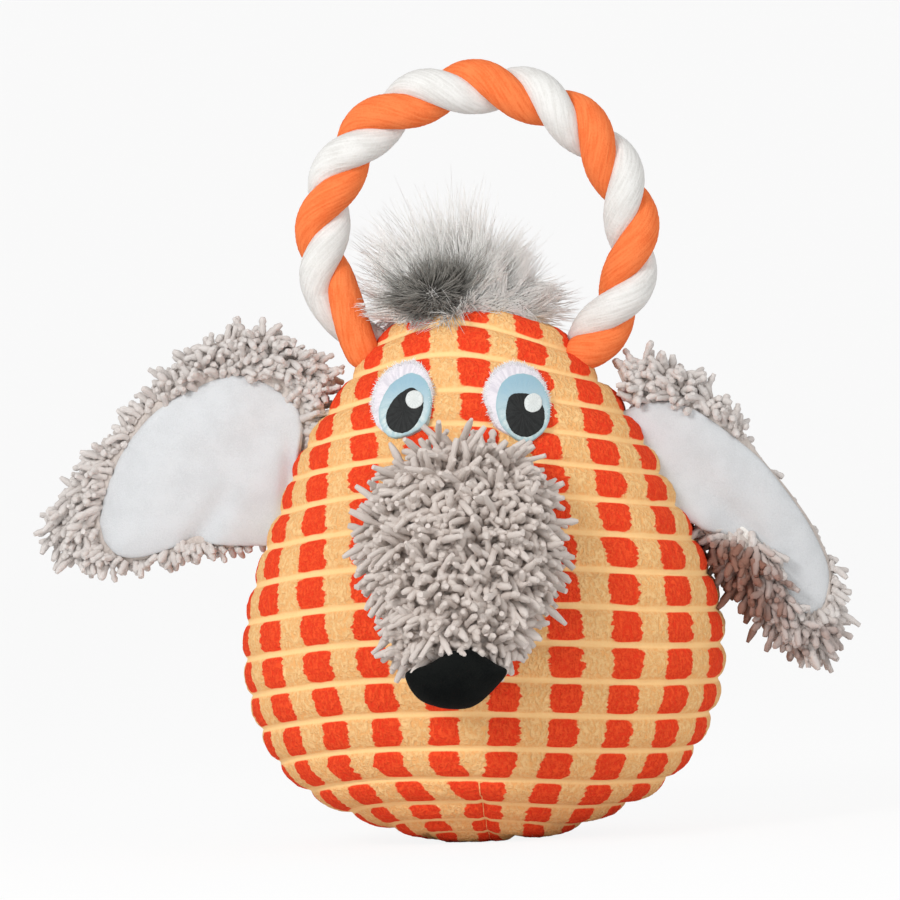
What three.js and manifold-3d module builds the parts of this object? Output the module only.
// Plush dog toy: a pear-shaped stuffed head and body with a squeaker inside, a snout on the face,
// two ears on the side seams, a hair tuft on the crown and a rope loop that goes into the head.
// Lengths are in millimetres. +Z is up, the face looks along -Y, and the origin is the middle of
// the flat patch that the toy stands on.
import * as THREE from "three";
import { mergeVertices } from "three/addons/utils/BufferGeometryUtils.js";
import Module from "manifold-3d";

const wasm = await Module();
wasm.setup();

// Fits shared by all pieces
const fitGap = 0.3;
const swingGap = 0.8;
const cutOverrun = 20;

// Head and body: two sewn panels round the fill, told by rings from the base to the crown
const bodyHeight = 188;
const bodyWidth = 167;
const bodyDepth = 122;
const coverThickness = 3;
const baseCut = 0.5;
const bottomLead = 6;
const bodySides = 28;
const bodyHeightShares = [
  0.011, 0.032, 0.064, 0.106, 0.165, 0.239, 0.351, 0.457, 0.553,
  0.649, 0.734, 0.798, 0.851, 0.899, 0.941, 0.973, 0.992,
];
const bodyWidthShares = [
  0.25, 0.43, 0.605, 0.76, 0.884, 0.96, 1, 0.974, 0.902,
  0.806, 0.721, 0.63, 0.53, 0.449, 0.371, 0.275, 0.156,
];

// Squeaker: a round bellows in a pocket of the fill, with a reed tube in its mouth
const squeakerHeight = 74;
const squeakerPocketDepth = 38;
const squeakerBackGap = 4;
const bladderRadius = 20;
const bladderThickness = 22;
const bladderWall = 1.2;
const bladderRimRadius = 4;
const reedTubeLength = 9;
const reedTubeRadius = 4.5;
const reedTubeWall = 1.2;
const reedFlangeRadius = 6.5;
const reedFlangeThickness = 1.2;
const reedThickness = 0.6;
const reedLength = 6;
const squeakerSides = 18;
const bladderRimSteps = 3;

// Snout: each row gives the upper and the lower end of one section, forward and up from the pivot,
// as shares of the snout's reach and of its root's height, and then the section's share of its width
const snoutPivotBelowCrown = 81;
const snoutPivotHeight = bodyHeight - snoutPivotBelowCrown;
const snoutPivotSink = 4;
const snoutReach = 54;
const snoutRootHeight = 62;
const snoutWidth = 65;
const snoutCoverThickness = 4.5;
const snoutBallRadius = 26.5;
const snoutSides = 20;
const snoutSectionShares = [
  [-0.07, 0.49, 0.1, -0.48, 0.955],
  [0.22, 0.42, 0.3, -0.51, 1],
  [0.5, 0.23, 0.43, -0.6, 0.955],
  [0.72, -0.03, 0.56, -0.71, 0.845],
  [0.9, -0.3, 0.69, -0.83, 0.7],
  [1, -0.56, 0.81, -0.94, 0.53],
];
const dishRingRadius = 34.5;
const dishRingDepth = 7;
const dishSides = 20;

// Nose on the snout's end
const noseWidth = 36;
const noseHeight = 23;
const noseThickness = 18;
const noseStandout = 5;
const noseSides = 16;
const noseRows = 10;

// Embroidered eyes, lying on the front panel
const eyeSpacing = 41;
const leftEyeBelowCrown = 33.5;
const rightEyeBelowCrown = 35;
const eyePatchWidth = 23;
const eyePatchHeight = 28;
const eyePatchLean = 12;
const eyeThreadThickness = 1.2;
const irisWidth = 18;
const irisHeight = 22;
const pupilWidth = 12.2;
const pupilHeight = 14.6;
const highlightDiameter = 5.6;
const irisAside = 1.4;
const irisDrop = 2;
const pupilAside = 1.9;
const pupilDrop = 4.3;
const highlightAside = 4.9;
const highlightDrop = 0.6;
const eyeSegments = 9;

// Rope loop: a ring that is open where it goes into the head
const ropeDiameter = 20;
const loopRadius = 54;
const loopEntrySpacing = 80.6;
const loopEntryBelowCrown = 16.5;
const loopEntryHeight = bodyHeight - loopEntryBelowCrown;
const loopAside = 1.5;
const loopTiltDegrees = 4;
const ropeEndLength = 24;
const ropeSocketGap = 1.8;
const ropeSides = 12;
const loopSteps = 20;
const ropeEndSteps = 3;
const ballRows = 8;

// Ears: the root line runs down the side seam from just below the rope
const earRootBelowLoopEntry = 13.5;
const earRootHeight = 46;
const earRootTopHeight = loopEntryHeight - earRootBelowLoopEntry;
const earRootBottomHeight = earRootTopHeight - earRootHeight;
const earRootStandoff = 5.7;
const earThickness = 11;
const earSweep = 16;
const leftEarReach = 84;
const leftEarHeight = 76;
const rightEarReach = 66;
const rightEarHeight = 77;
const earSides = 14;
const earRollSides = 12;
const earEdgeRoundness = 0.7;
const earRootThicknessShare = 0.34;
const liningThickness = 1.5;
const earPaddingThickness = 3;
const liningUpperShare = 0.8;
const liningLowerShare = 0.1;
// Each row: the upper and the lower end of one section, outward and up from the middle of the
// root line, as shares of the ear's reach and height, and the section's share of its thickness
const leftEarSectionShares = [
  [-0.055, 0.5, 0.23, -0.4, 0.66],
  [0.1, 0.585, 0.36, -0.41, 0.9],
  [0.277, 0.56, 0.479, -0.434, 1],
  [0.431, 0.461, 0.597, -0.447, 1],
  [0.561, 0.329, 0.691, -0.46, 0.95],
  [0.691, 0.184, 0.787, -0.454, 0.9],
  [0.822, 0.026, 0.87, -0.428, 0.8],
  [0.928, -0.118, 0.94, -0.382, 0.62],
];
const leftEarTipShares = [1, -0.276];
const rightEarSectionShares = [
  [-0.04, 0.37, 0.279, -0.468, 0.66],
  [0.142, 0.338, 0.339, -0.558, 0.9],
  [0.294, 0.221, 0.415, -0.656, 1],
  [0.415, 0.091, 0.506, -0.766, 1],
  [0.521, -0.078, 0.589, -0.851, 1],
  [0.642, -0.247, 0.673, -0.929, 0.95],
  [0.764, -0.416, 0.748, -0.981, 0.9],
  [0.87, -0.584, 0.824, -1, 0.8],
  [0.961, -0.753, 0.915, -0.974, 0.62],
];
const rightEarTipShares = [0.991, -0.883];

// Hair tuft on the crown
const tuftWidth = 66;
const tuftDepth = 38;
const tuftTopAboveCrown = 29;
const tuftMiddleAboveCrown = 4;
const tuftAside = 1;
const tuftBackingWidth = 50;
const tuftBackingDepth = 30;
const tuftBackingThickness = 1.5;
const tuftSides = 16;
const tuftRows = 10;

// Turns a closed three.js geometry into a solid that can be cut and joined.
function solidOf(geometry) {
  const bare = geometry.clone();
  bare.deleteAttribute("normal");
  bare.deleteAttribute("uv");
  const merged = mergeVertices(bare, fitGap / 1000);
  const mesh = new wasm.Mesh({
    numProp: 3,
    vertProperties: new Float32Array(merged.attributes.position.array),
    triVerts: new Uint32Array(merged.index.array),
  });
  return new wasm.Manifold(mesh);
}

// Turns a solid back into a three.js mesh with its own material.
function pieceOf(name, solid, color, roughness) {
  const { numProp, vertProperties, triVerts } = solid.getMesh();
  const positions = [];
  for (const vertex of triVerts) {
    const start = vertex * numProp;
    positions.push(...vertProperties.slice(start, start + 3));
  }
  const geometry = new THREE.BufferGeometry();
  geometry.setAttribute("position", new THREE.Float32BufferAttribute(positions, 3));
  geometry.computeVertexNormals();
  const material = new THREE.MeshStandardMaterial({ color, roughness, metalness: 0 });
  const mesh = new THREE.Mesh(geometry, material);
  mesh.name = name;
  return mesh;
}

// Joins rings of equally many points into one closed skin, with a fan to a point at each end.
// Rings that run the other way round would turn the skin inside out, so they are reversed.
function loftOf(rings, startPoint, endPoint) {
  const sides = rings[0].length;
  const points = [...rings.flat(), startPoint, endPoint];
  const startIndex = rings.length * sides;
  const endIndex = startIndex + 1;
  const lastRing = (rings.length - 1) * sides;
  const index = [];
  for (let side = 0; side < sides; side += 1) {
    const next = (side + 1) % sides;
    index.push(startIndex, next, side);
    index.push(endIndex, lastRing + side, lastRing + next);
    for (let ring = 0; ring + 1 < rings.length; ring += 1) {
      const low = ring * sides;
      const high = low + sides;
      index.push(low + side, low + next, high + next);
      index.push(low + side, high + next, high + side);
    }
  }
  const geometry = new THREE.BufferGeometry().setFromPoints(points);
  geometry.setIndex(index);
  const solid = solidOf(geometry);
  if (solid.volume() > 0) return solid;
  return loftOf(rings.map((ring) => [...ring].reverse()), startPoint, endPoint);
}

// A shape turned about Y from rows of a radius and a place along the axis.
function turned(profile, sides) {
  const points = profile.map(([radius, along]) => new THREE.Vector2(radius, along));
  return new THREE.LatheGeometry(points, sides);
}

function centreOf(ring) {
  const sum = ring.reduce((total, point) => total.add(point), new THREE.Vector3());
  return sum.multiplyScalar(1 / ring.length);
}

function boxBetween(low, high) {
  const size = new THREE.Vector3().subVectors(high, low);
  const centre = new THREE.Vector3().addVectors(low, high).multiplyScalar(1 / 2);
  const geometry = new THREE.BoxGeometry(size.x, size.y, size.z);
  geometry.translate(centre.x, centre.y, centre.z);
  return solidOf(geometry);
}

function ballAt(centre, radius) {
  const geometry = new THREE.SphereGeometry(radius, dishSides, dishSides / 2);
  geometry.translate(centre.x, centre.y, centre.z);
  return solidOf(geometry);
}

// An ellipse drawn on the XZ plane and pushed through the toy along Y.
function ellipseThroughFront(centreX, centreZ, width, height, leanDegrees) {
  const outline = new THREE.Shape();
  const lean = THREE.MathUtils.degToRad(leanDegrees);
  outline.absellipse(centreX, centreZ, width / 2, height / 2, 0, 2 * Math.PI, false, lean);
  const geometry = new THREE.ExtrudeGeometry(outline, {
    depth: bodyDepth,
    bevelEnabled: false,
    curveSegments: eyeSegments,
  });
  geometry.rotateX(Math.PI / 2);
  return solidOf(geometry);
}

// Half of the body's width at a height above its lowest ring, between its rings.
function bodyHalfWidthAt(height) {
  const share = (height + baseCut) / bodyHeight;
  const above = bodyHeightShares.findIndex((ringShare) => ringShare > share);
  const below = above - 1;
  const span = bodyHeightShares[above] - bodyHeightShares[below];
  const part = (share - bodyHeightShares[below]) / span;
  const widthShare = THREE.MathUtils.lerp(bodyWidthShares[below], bodyWidthShares[above], part);
  return (widthShare * bodyWidth) / 2;
}

function bodyHalfDepthAt(height) {
  return (bodyHalfWidthAt(height) * bodyDepth) / bodyWidth;
}

// The body's outside, moved out by grow, or in where grow is negative.
function bodySkin(grow) {
  const middle = bodyHeight / 2;
  const tall = 1 + (2 * grow) / bodyHeight;
  const wide = 1 + (2 * grow) / bodyWidth;
  const deep = 1 + (2 * grow) / bodyDepth;
  const widestShare = bodyHeightShares[bodyWidthShares.indexOf(1)];
  const leadAt = (heightShare) => bottomLead * Math.max(0, 1 - heightShare / widestShare) ** 2;
  const placed = (heightShare, x, y) => {
    const z = middle + (heightShare * bodyHeight - middle) * tall - baseCut;
    return new THREE.Vector3(x, y - leadAt(heightShare), z);
  };
  const rings = bodyHeightShares.map((heightShare, ring) => {
    const halfWidth = (bodyWidthShares[ring] * bodyWidth * wide) / 2;
    const halfDepth = (bodyWidthShares[ring] * bodyDepth * deep) / 2;
    const points = [];
    for (let side = 0; side < bodySides; side += 1) {
      const angle = (2 * Math.PI * side) / bodySides;
      points.push(placed(heightShare, halfWidth * Math.cos(angle), halfDepth * Math.sin(angle)));
    }
    return points;
  });
  return loftOf(rings, placed(0, 0, 0), placed(1, 0, 0));
}

// A layer that lies on the body between two distances from its cover.
function bodyLayer(near, far) {
  return bodySkin(far).subtract(bodySkin(near));
}

// The snout's skin, drawn in by inset, from its root ring to its end.
const snoutPivot = new THREE.Vector3(
  0,
  snoutPivotSink - bodyHalfDepthAt(snoutPivotHeight),
  snoutPivotHeight,
);
function snoutSkin(inset) {
  const ends = snoutSectionShares.map(([upperForward, upperRise, lowerForward, lowerRise]) => {
    const at = (forward, rise) =>
      snoutPivot.clone().add(new THREE.Vector3(0, -forward * snoutReach, rise * snoutRootHeight));
    return [at(upperForward, upperRise), at(lowerForward, lowerRise)];
  });
  const frames = ends.map(([upper, lower], section) => {
    const centre = new THREE.Vector3().addVectors(upper, lower).multiplyScalar(1 / 2);
    const up = new THREE.Vector3().subVectors(upper, lower).multiplyScalar(1 / 2);
    const halfHeight = up.length() - inset;
    const halfWidth = (snoutSectionShares[section][4] * snoutWidth) / 2 - inset;
    return { centre, up: up.normalize(), halfHeight, halfWidth };
  });
  const last = frames[frames.length - 1];
  const outward = new THREE.Vector3(0, -last.up.z, last.up.y);
  last.centre.addScaledVector(outward, -inset);
  const rings = frames.map(({ centre, up, halfHeight, halfWidth }) => {
    const points = [];
    for (let side = 0; side < snoutSides; side += 1) {
      const angle = (2 * Math.PI * side) / snoutSides;
      const point = centre.clone().addScaledVector(up, halfHeight * Math.sin(angle));
      point.x += halfWidth * Math.cos(angle);
      points.push(point);
    }
    return points;
  });
  return { rings, first: frames[0].centre, last, outward };
}
function snoutLoft(inset) {
  const { rings, first, last } = snoutSkin(inset);
  return loftOf(rings, first, last.centre);
}

// Front and back panels of the cover, with their holes for the snout and the rope.
function makeCover(cuts) {
  const across = bodyWidth;
  const floor = boxBetween(
    new THREE.Vector3(-across, -across, -cutOverrun),
    new THREE.Vector3(across, across, 0),
  );
  let shell = bodySkin(0).subtract(bodySkin(-coverThickness)).subtract(floor);
  for (const cut of cuts) shell = shell.subtract(cut);
  const seam = fitGap / 2;
  const frontSide = boxBetween(
    new THREE.Vector3(-across, -across, -cutOverrun),
    new THREE.Vector3(across, -seam, bodyHeight + cutOverrun),
  );
  const backSide = boxBetween(
    new THREE.Vector3(-across, seam, -cutOverrun),
    new THREE.Vector3(across, across, bodyHeight + cutOverrun),
  );
  return [
    pieceOf("front_body_panel", shell.intersect(frontSide), "#e8622f", 0.95),
    pieceOf("back_body_panel", shell.intersect(backSide), "#e8622f", 0.95),
  ];
}

function makeBodyStuffing(cuts) {
  let fill = bodySkin(-coverThickness - fitGap);
  for (const cut of cuts) fill = fill.subtract(cut);
  return pieceOf("body_stuffing", fill, "#f4f2ec", 1);
}

// The squeaker's pieces are drawn about an axis along Y, with the reed tube's front at zero.
const pocketFront = new THREE.Vector3(
  0,
  bodyHalfDepthAt(squeakerHeight)
    - coverThickness - squeakerBackGap - bladderThickness - reedTubeLength,
  squeakerHeight,
);
function turnedInPocket(profile) {
  const geometry = turned(profile, squeakerSides);
  geometry.translate(pocketFront.x, pocketFront.y, pocketFront.z);
  return solidOf(geometry);
}

// A hollow bellows with a round mouth at its front for the reed tube.
function makeBladder() {
  const rim = bladderRimRadius;
  const mouth = reedTubeRadius + fitGap;
  const wall = bladderWall;
  const front = reedTubeLength;
  const back = front + bladderThickness;
  const outerCurve = [];
  const innerCurve = [];
  for (let step = 0; step <= bladderRimSteps; step += 1) {
    const angle = (Math.PI * step) / (2 * bladderRimSteps);
    const outR = bladderRadius - rim + rim * Math.sin(angle);
    const inR = bladderRadius - rim + (rim - wall) * Math.sin(angle);
    outerCurve.push([outR, rim * (1 - Math.cos(angle))]);
    innerCurve.push([inR, rim - (rim - wall) * Math.cos(angle)]);
  }
  const frontOuter = outerCurve.map(([radius, along]) => [radius, front + along]);
  const backOuter = outerCurve.map(([radius, along]) => [radius, back - along]).reverse();
  const frontInner = innerCurve.map(([radius, along]) => [radius, front + along]).reverse();
  const backInner = innerCurve.map(([radius, along]) => [radius, back - along]);
  const profile = [
    [mouth, front],
    ...frontOuter,
    ...backOuter,
    [0, back],
    [0, back - wall],
    ...backInner,
    ...frontInner,
    [mouth, front + wall],
    [mouth, front],
  ];
  return turnedInPocket(profile);
}

// A tube with a flange that rests on the bladder's mouth and a cross slot that holds the reed.
function makeReedHousing() {
  const bore = reedTubeRadius - reedTubeWall;
  const flangeBack = reedTubeLength - fitGap;
  const flangeFront = flangeBack - reedFlangeThickness;
  const tubeBack = reedTubeLength + reedLength;
  const profile = [
    [bore, flangeFront],
    [reedFlangeRadius, flangeFront],
    [reedFlangeRadius, flangeBack],
    [reedTubeRadius, flangeBack],
    [reedTubeRadius, tubeBack],
    [bore, tubeBack],
    [bore, flangeFront],
  ];
  return turnedInPocket(profile);
}

// A thin strip across the tube's bore, held by its two edges.
function makeReed() {
  const halfWidth = reedTubeRadius - reedTubeWall - fitGap;
  const strip = new THREE.BoxGeometry(2 * halfWidth, reedLength, reedThickness);
  strip.translate(0, reedTubeLength + reedLength / 2 - reedFlangeThickness, 0);
  strip.translate(pocketFront.x, pocketFront.y, pocketFront.z);
  return solidOf(strip);
}

function makeSqueaker() {
  return [
    pieceOf("squeaker_bladder", makeBladder(), "#dfe3e6", 0.5),
    pieceOf("squeaker_reed_housing", makeReedHousing(), "#f2f2f0", 0.4),
    pieceOf("squeaker_reed", makeReed(), "#c9ccd0", 0.3),
  ];
}

function squeakerPocket() {
  const radius = bladderRadius + fitGap;
  const depth = squeakerPocketDepth + cutOverrun;
  const geometry = new THREE.CylinderGeometry(radius, radius, depth, squeakerSides);
  const back = bodyHalfDepthAt(squeakerHeight) + cutOverrun;
  geometry.translate(0, back - depth / 2, squeakerHeight);
  return solidOf(geometry);
}

// Where the snout's root turns inside the head.
function snoutDish() {
  const front = boxBetween(
    new THREE.Vector3(-bodyWidth, -bodyDepth, 0),
    new THREE.Vector3(bodyWidth, snoutPivot.y + dishRingDepth, bodyHeight),
  );
  const ring = ballAt(snoutPivot, dishRingRadius).intersect(front);
  return ring.add(ballAt(snoutPivot, snoutBallRadius + swingGap));
}

function noseBall(grow) {
  const { last, outward } = snoutSkin(0);
  const geometry = new THREE.SphereGeometry(1, noseSides, noseRows);
  geometry.scale(noseWidth / 2 + grow, noseThickness / 2 + grow, noseHeight / 2 + grow);
  geometry.rotateX(Math.atan2(-last.up.y, last.up.z));
  const centre = last.centre.clone().addScaledVector(outward, noseStandout);
  geometry.translate(centre.x, centre.y, centre.z);
  return solidOf(geometry);
}

function makeSnout() {
  const nose = noseBall(0);
  const ball = ballAt(snoutPivot, snoutBallRadius);
  const cover = snoutLoft(0)
    .subtract(snoutLoft(snoutCoverThickness))
    .subtract(ballAt(snoutPivot, snoutBallRadius + fitGap))
    .subtract(noseBall(fitGap));
  const fill = snoutLoft(snoutCoverThickness + fitGap).add(ball).subtract(noseBall(fitGap));
  return [
    pieceOf("snout_cover", cover, "#c6bdb8", 1),
    pieceOf("snout_stuffing", fill, "#f4f2ec", 1),
    pieceOf("nose_cover", nose, "#15181a", 0.9),
  ];
}

// Four layers of thread an eye, each cut to fit round the next.
function makeEye(side, centreX, centreZ) {
  const layer = bodyLayer(fitGap, fitGap + eyeThreadThickness);
  const iris = (grow) =>
    ellipseThroughFront(
      centreX + irisAside,
      centreZ - irisDrop,
      irisWidth + 2 * grow,
      irisHeight + 2 * grow,
      0,
    );
  const pupil = (grow) =>
    ellipseThroughFront(
      centreX + pupilAside,
      centreZ - pupilDrop,
      pupilWidth + 2 * grow,
      pupilHeight + 2 * grow,
      0,
    );
  const highlight = (grow) =>
    ellipseThroughFront(
      centreX + highlightAside,
      centreZ - highlightDrop,
      highlightDiameter + 2 * grow,
      highlightDiameter + 2 * grow,
      0,
    );
  const lean = Math.sign(centreX) * eyePatchLean;
  const patch = ellipseThroughFront(centreX, centreZ, eyePatchWidth, eyePatchHeight, lean);
  const patchRing = layer.intersect(patch).subtract(iris(fitGap));
  const irisRing = layer.intersect(iris(0)).subtract(pupil(fitGap)).subtract(highlight(fitGap));
  const pupilDisc = layer.intersect(pupil(0)).subtract(highlight(fitGap));
  return [
    pieceOf(side + "_eye_patch", patchRing, "#f3f2f0", 0.6),
    pieceOf(side + "_eye_iris", irisRing, "#aecdd8", 0.55),
    pieceOf(side + "_eye_pupil", pupilDisc, "#232323", 0.5),
    pieceOf(side + "_eye_highlight", layer.intersect(highlight(0)), "#f3f4f3", 0.5),
  ];
}

// The ends of an ear's root line, on the side that sign gives: -1 is the viewer's left.
function earRoot(sign) {
  const at = (height) =>
    new THREE.Vector3(sign * (bodyHalfWidthAt(height) + earRootStandoff), 0, height);
  return { top: at(earRootTopHeight), bottom: at(earRootBottomHeight) };
}

// The rolled seam that the ear turns on: round about the root line, and as thick at each height
// as the body beside it leaves room for.
function earRootRoll(sign) {
  const { top, bottom } = earRoot(sign);
  const axis = new THREE.Vector3().subVectors(top, bottom).normalize();
  const ringHeights = bodyHeightShares
    .map((share) => share * bodyHeight - baseCut)
    .filter((height) => height > earRootBottomHeight && height < earRootTopHeight);
  const rows = [earRootBottomHeight, ...ringHeights, earRootTopHeight].map((height) => {
    const seam = new THREE.Vector3(sign * bodyHalfWidthAt(height), 0, height).sub(bottom);
    const along = seam.dot(axis);
    return [seam.addScaledVector(axis, -along).length() - fitGap, along];
  });
  const profile = [[0, rows[0][1]], ...rows, [0, rows[rows.length - 1][1]]];
  const geometry = turned(profile, earRollSides);
  const depth = new THREE.Vector3(0, 1, 0);
  const across = new THREE.Vector3().crossVectors(axis, depth);
  geometry.applyMatrix4(new THREE.Matrix4().makeBasis(across, axis, depth));
  geometry.translate(bottom.x, bottom.y, bottom.z);
  return solidOf(geometry);
}

// An ear's sections from its root to its tip, each with its two ends and its thickness.
function earSections(sign, reach, height, sectionShares, tipShares) {
  const { top, bottom } = earRoot(sign);
  const middle = new THREE.Vector3().addVectors(top, bottom).multiplyScalar(1 / 2);
  const at = (outShare, upShare) =>
    new THREE.Vector3(
      middle.x + sign * outShare * reach,
      earSweep * Math.max(0, outShare) ** 2,
      middle.z + upShare * height,
    );
  const sections = sectionShares.map(([upperOut, upperUp, lowerOut, lowerUp, thickShare]) => ({
    upper: at(upperOut, upperUp),
    lower: at(lowerOut, lowerUp),
    thickness: thickShare * earThickness,
  }));
  const root = { upper: top, lower: bottom, thickness: earRootThicknessShare * earThickness };
  return { sections: [root, ...sections], tip: at(...tipShares), middle };
}

// One section as a flat ring: its ends are round, and it is as thick as its thickness.
function earRing({ upper, lower, thickness }, sides) {
  const points = [];
  for (let side = 0; side < sides; side += 1) {
    const angle = (2 * Math.PI * side) / sides;
    const point = new THREE.Vector3().lerpVectors(lower, upper, (1 + Math.cos(angle)) / 2);
    const bulge = Math.abs(Math.sin(angle)) ** earEdgeRoundness;
    point.y += (Math.sign(Math.sin(angle)) * bulge * thickness) / 2;
    points.push(point);
  }
  return points;
}

function makeEar(side, sign, reach, height, sectionShares, tipShares) {
  const { sections, tip, middle } = earSections(sign, reach, height, sectionShares, tipShares);
  const outline = loftOf(
    sections.map((section) => earRing(section, earSides)),
    middle,
    tip,
  );
  // The lining's sections lie within the ear's. A slab round them reaches from in front of the ear
  // to a depth below its front, so that what the ear and the slab share follows the ear's front.
  const slab = (grow, depth) => {
    const rings = sections.slice(1).map(({ upper, lower, thickness }) => {
      const along = new THREE.Vector3().subVectors(upper, lower);
      const length = along.length();
      along.normalize();
      const low = lower.clone().addScaledVector(along, length * liningLowerShare - grow);
      const high = lower.clone().addScaledVector(along, length * liningUpperShare + grow);
      const back = depth - thickness / 2;
      const front = back - earThickness;
      const corner = (end, y) => new THREE.Vector3(end.x, end.y + y, end.z);
      return [corner(low, back), corner(low, front), corner(high, front), corner(high, back)];
    });
    const pushOut = (ring, from) =>
      ring.map((point, corner) => {
        const outward = new THREE.Vector3().subVectors(point, from[corner]).normalize();
        return point.clone().addScaledVector(outward, grow);
      });
    const first = pushOut(rings[0], rings[1]);
    const last = pushOut(rings[rings.length - 1], rings[rings.length - 2]);
    return loftOf([first, ...rings.slice(1, -1), last], centreOf(first), centreOf(last));
  };
  const paddingBack = liningThickness + fitGap + earPaddingThickness;
  const lining = outline.intersect(slab(-fitGap, liningThickness));
  const padding = outline
    .intersect(slab(-fitGap, paddingBack))
    .subtract(slab(0, liningThickness + fitGap));
  const back = outline.add(earRootRoll(sign)).subtract(slab(0, paddingBack + fitGap));
  return [
    pieceOf(side + "_ear_back", back, "#c5beb9", 1),
    pieceOf(side + "_ear_padding", padding, "#f4f2ec", 1),
    pieceOf(side + "_ear_lining", lining, "#f2f2f1", 0.4),
  ];
}

function makeTuft() {
  const outline = new THREE.Shape();
  outline.absellipse(tuftAside, 0, tuftBackingWidth / 2, tuftBackingDepth / 2, 0, 2 * Math.PI);
  const column = new THREE.ExtrudeGeometry(outline, {
    depth: bodyHeight,
    bevelEnabled: false,
    curveSegments: tuftSides / 2,
  });
  column.translate(0, 0, bodyHeight / 2);
  const backing = bodyLayer(fitGap, fitGap + tuftBackingThickness).intersect(solidOf(column));
  const mound = new THREE.SphereGeometry(1, tuftSides, tuftRows);
  mound.rotateX(Math.PI / 2);
  mound.scale(tuftWidth / 2, tuftDepth / 2, tuftTopAboveCrown - tuftMiddleAboveCrown);
  mound.translate(tuftAside, 0, bodyHeight + tuftMiddleAboveCrown);
  const pile = solidOf(mound).subtract(bodySkin(2 * fitGap + tuftBackingThickness));
  return [
    pieceOf("tuft_backing", backing, "#8c8883", 1),
    pieceOf("tuft_pile", pile, "#9c938b", 1),
  ];
}

// The rope's ring lies in a plane that is tilted a little about Y.
const loopTilt = THREE.MathUtils.degToRad(loopTiltDegrees);
const loopRise = Math.sqrt(loopRadius ** 2 - (loopEntrySpacing / 2) ** 2);
const entryAngle = Math.asin(loopRise / loopRadius);
function loopPoint(angle) {
  const x = loopRadius * Math.cos(angle);
  const z = loopRise + loopRadius * Math.sin(angle);
  return new THREE.Vector3(
    loopAside + x * Math.cos(loopTilt) + z * Math.sin(loopTilt),
    0,
    loopEntryHeight + z * Math.cos(loopTilt) - x * Math.sin(loopTilt),
  );
}

function entryAngleOn(sign) {
  return sign > 0 ? -entryAngle : Math.PI + entryAngle;
}

function ropeAlong(startAngle, endAngle, steps, radius) {
  const points = [];
  for (let step = 0; step <= steps; step += 1) {
    points.push(loopPoint(THREE.MathUtils.lerp(startAngle, endAngle, step / steps)));
  }
  const section = new THREE.Shape();
  section.absarc(0, 0, radius, 0, 2 * Math.PI);
  const geometry = new THREE.ExtrudeGeometry(section, {
    steps,
    curveSegments: ropeSides / 2,
    bevelEnabled: false,
    extrudePath: new THREE.CatmullRomCurve3(points),
  });
  return solidOf(geometry);
}

// The rope goes on inside the head, just past the round end that the loop turns on.
function ropeEnd(sign, radius) {
  const start = entryAngleOn(sign) - (sign * (ropeDiameter / 2 + swingGap)) / loopRadius;
  return ropeAlong(start, start - (sign * ropeEndLength) / loopRadius, ropeEndSteps, radius);
}

function ropeBall(sign, radius) {
  const centre = loopPoint(entryAngleOn(sign));
  const geometry = new THREE.SphereGeometry(radius, 2 * ballRows, ballRows);
  geometry.translate(centre.x, centre.y, centre.z);
  return solidOf(geometry);
}

function ropeSockets() {
  const radius = ropeDiameter / 2;
  return [-1, 1].flatMap((sign) => [
    ropeEnd(sign, radius + fitGap),
    ropeBall(sign, radius + ropeSocketGap),
  ]);
}

function makeRope() {
  const radius = ropeDiameter / 2;
  const loop = ropeAlong(entryAngleOn(1), entryAngleOn(-1), loopSteps, radius)
    .add(ropeBall(-1, radius))
    .add(ropeBall(1, radius));
  return [
    pieceOf("rope_handle", loop, "#f28a52", 0.9),
    pieceOf("left_rope_end", ropeEnd(-1, radius), "#f28a52", 0.9),
    pieceOf("right_rope_end", ropeEnd(1, radius), "#f28a52", 0.9),
  ];
}

const sockets = ropeSockets();
const dish = snoutDish();
const group = new THREE.Group();
group.add(
  ...makeCover([dish, ...sockets]),
  makeBodyStuffing([dish, squeakerPocket(), ...sockets]),
  ...makeSqueaker(),
  ...makeSnout(),
  ...makeEye("left", -eyeSpacing / 2, bodyHeight - leftEyeBelowCrown),
  ...makeEye("right", eyeSpacing / 2, bodyHeight - rightEyeBelowCrown),
  ...makeEar("left", -1, leftEarReach, leftEarHeight, leftEarSectionShares, leftEarTipShares),
  ...makeEar("right", 1, rightEarReach, rightEarHeight, rightEarSectionShares, rightEarTipShares),
  ...makeTuft(),
  ...makeRope(),
);
group.position.y = bottomLead;

export default group;
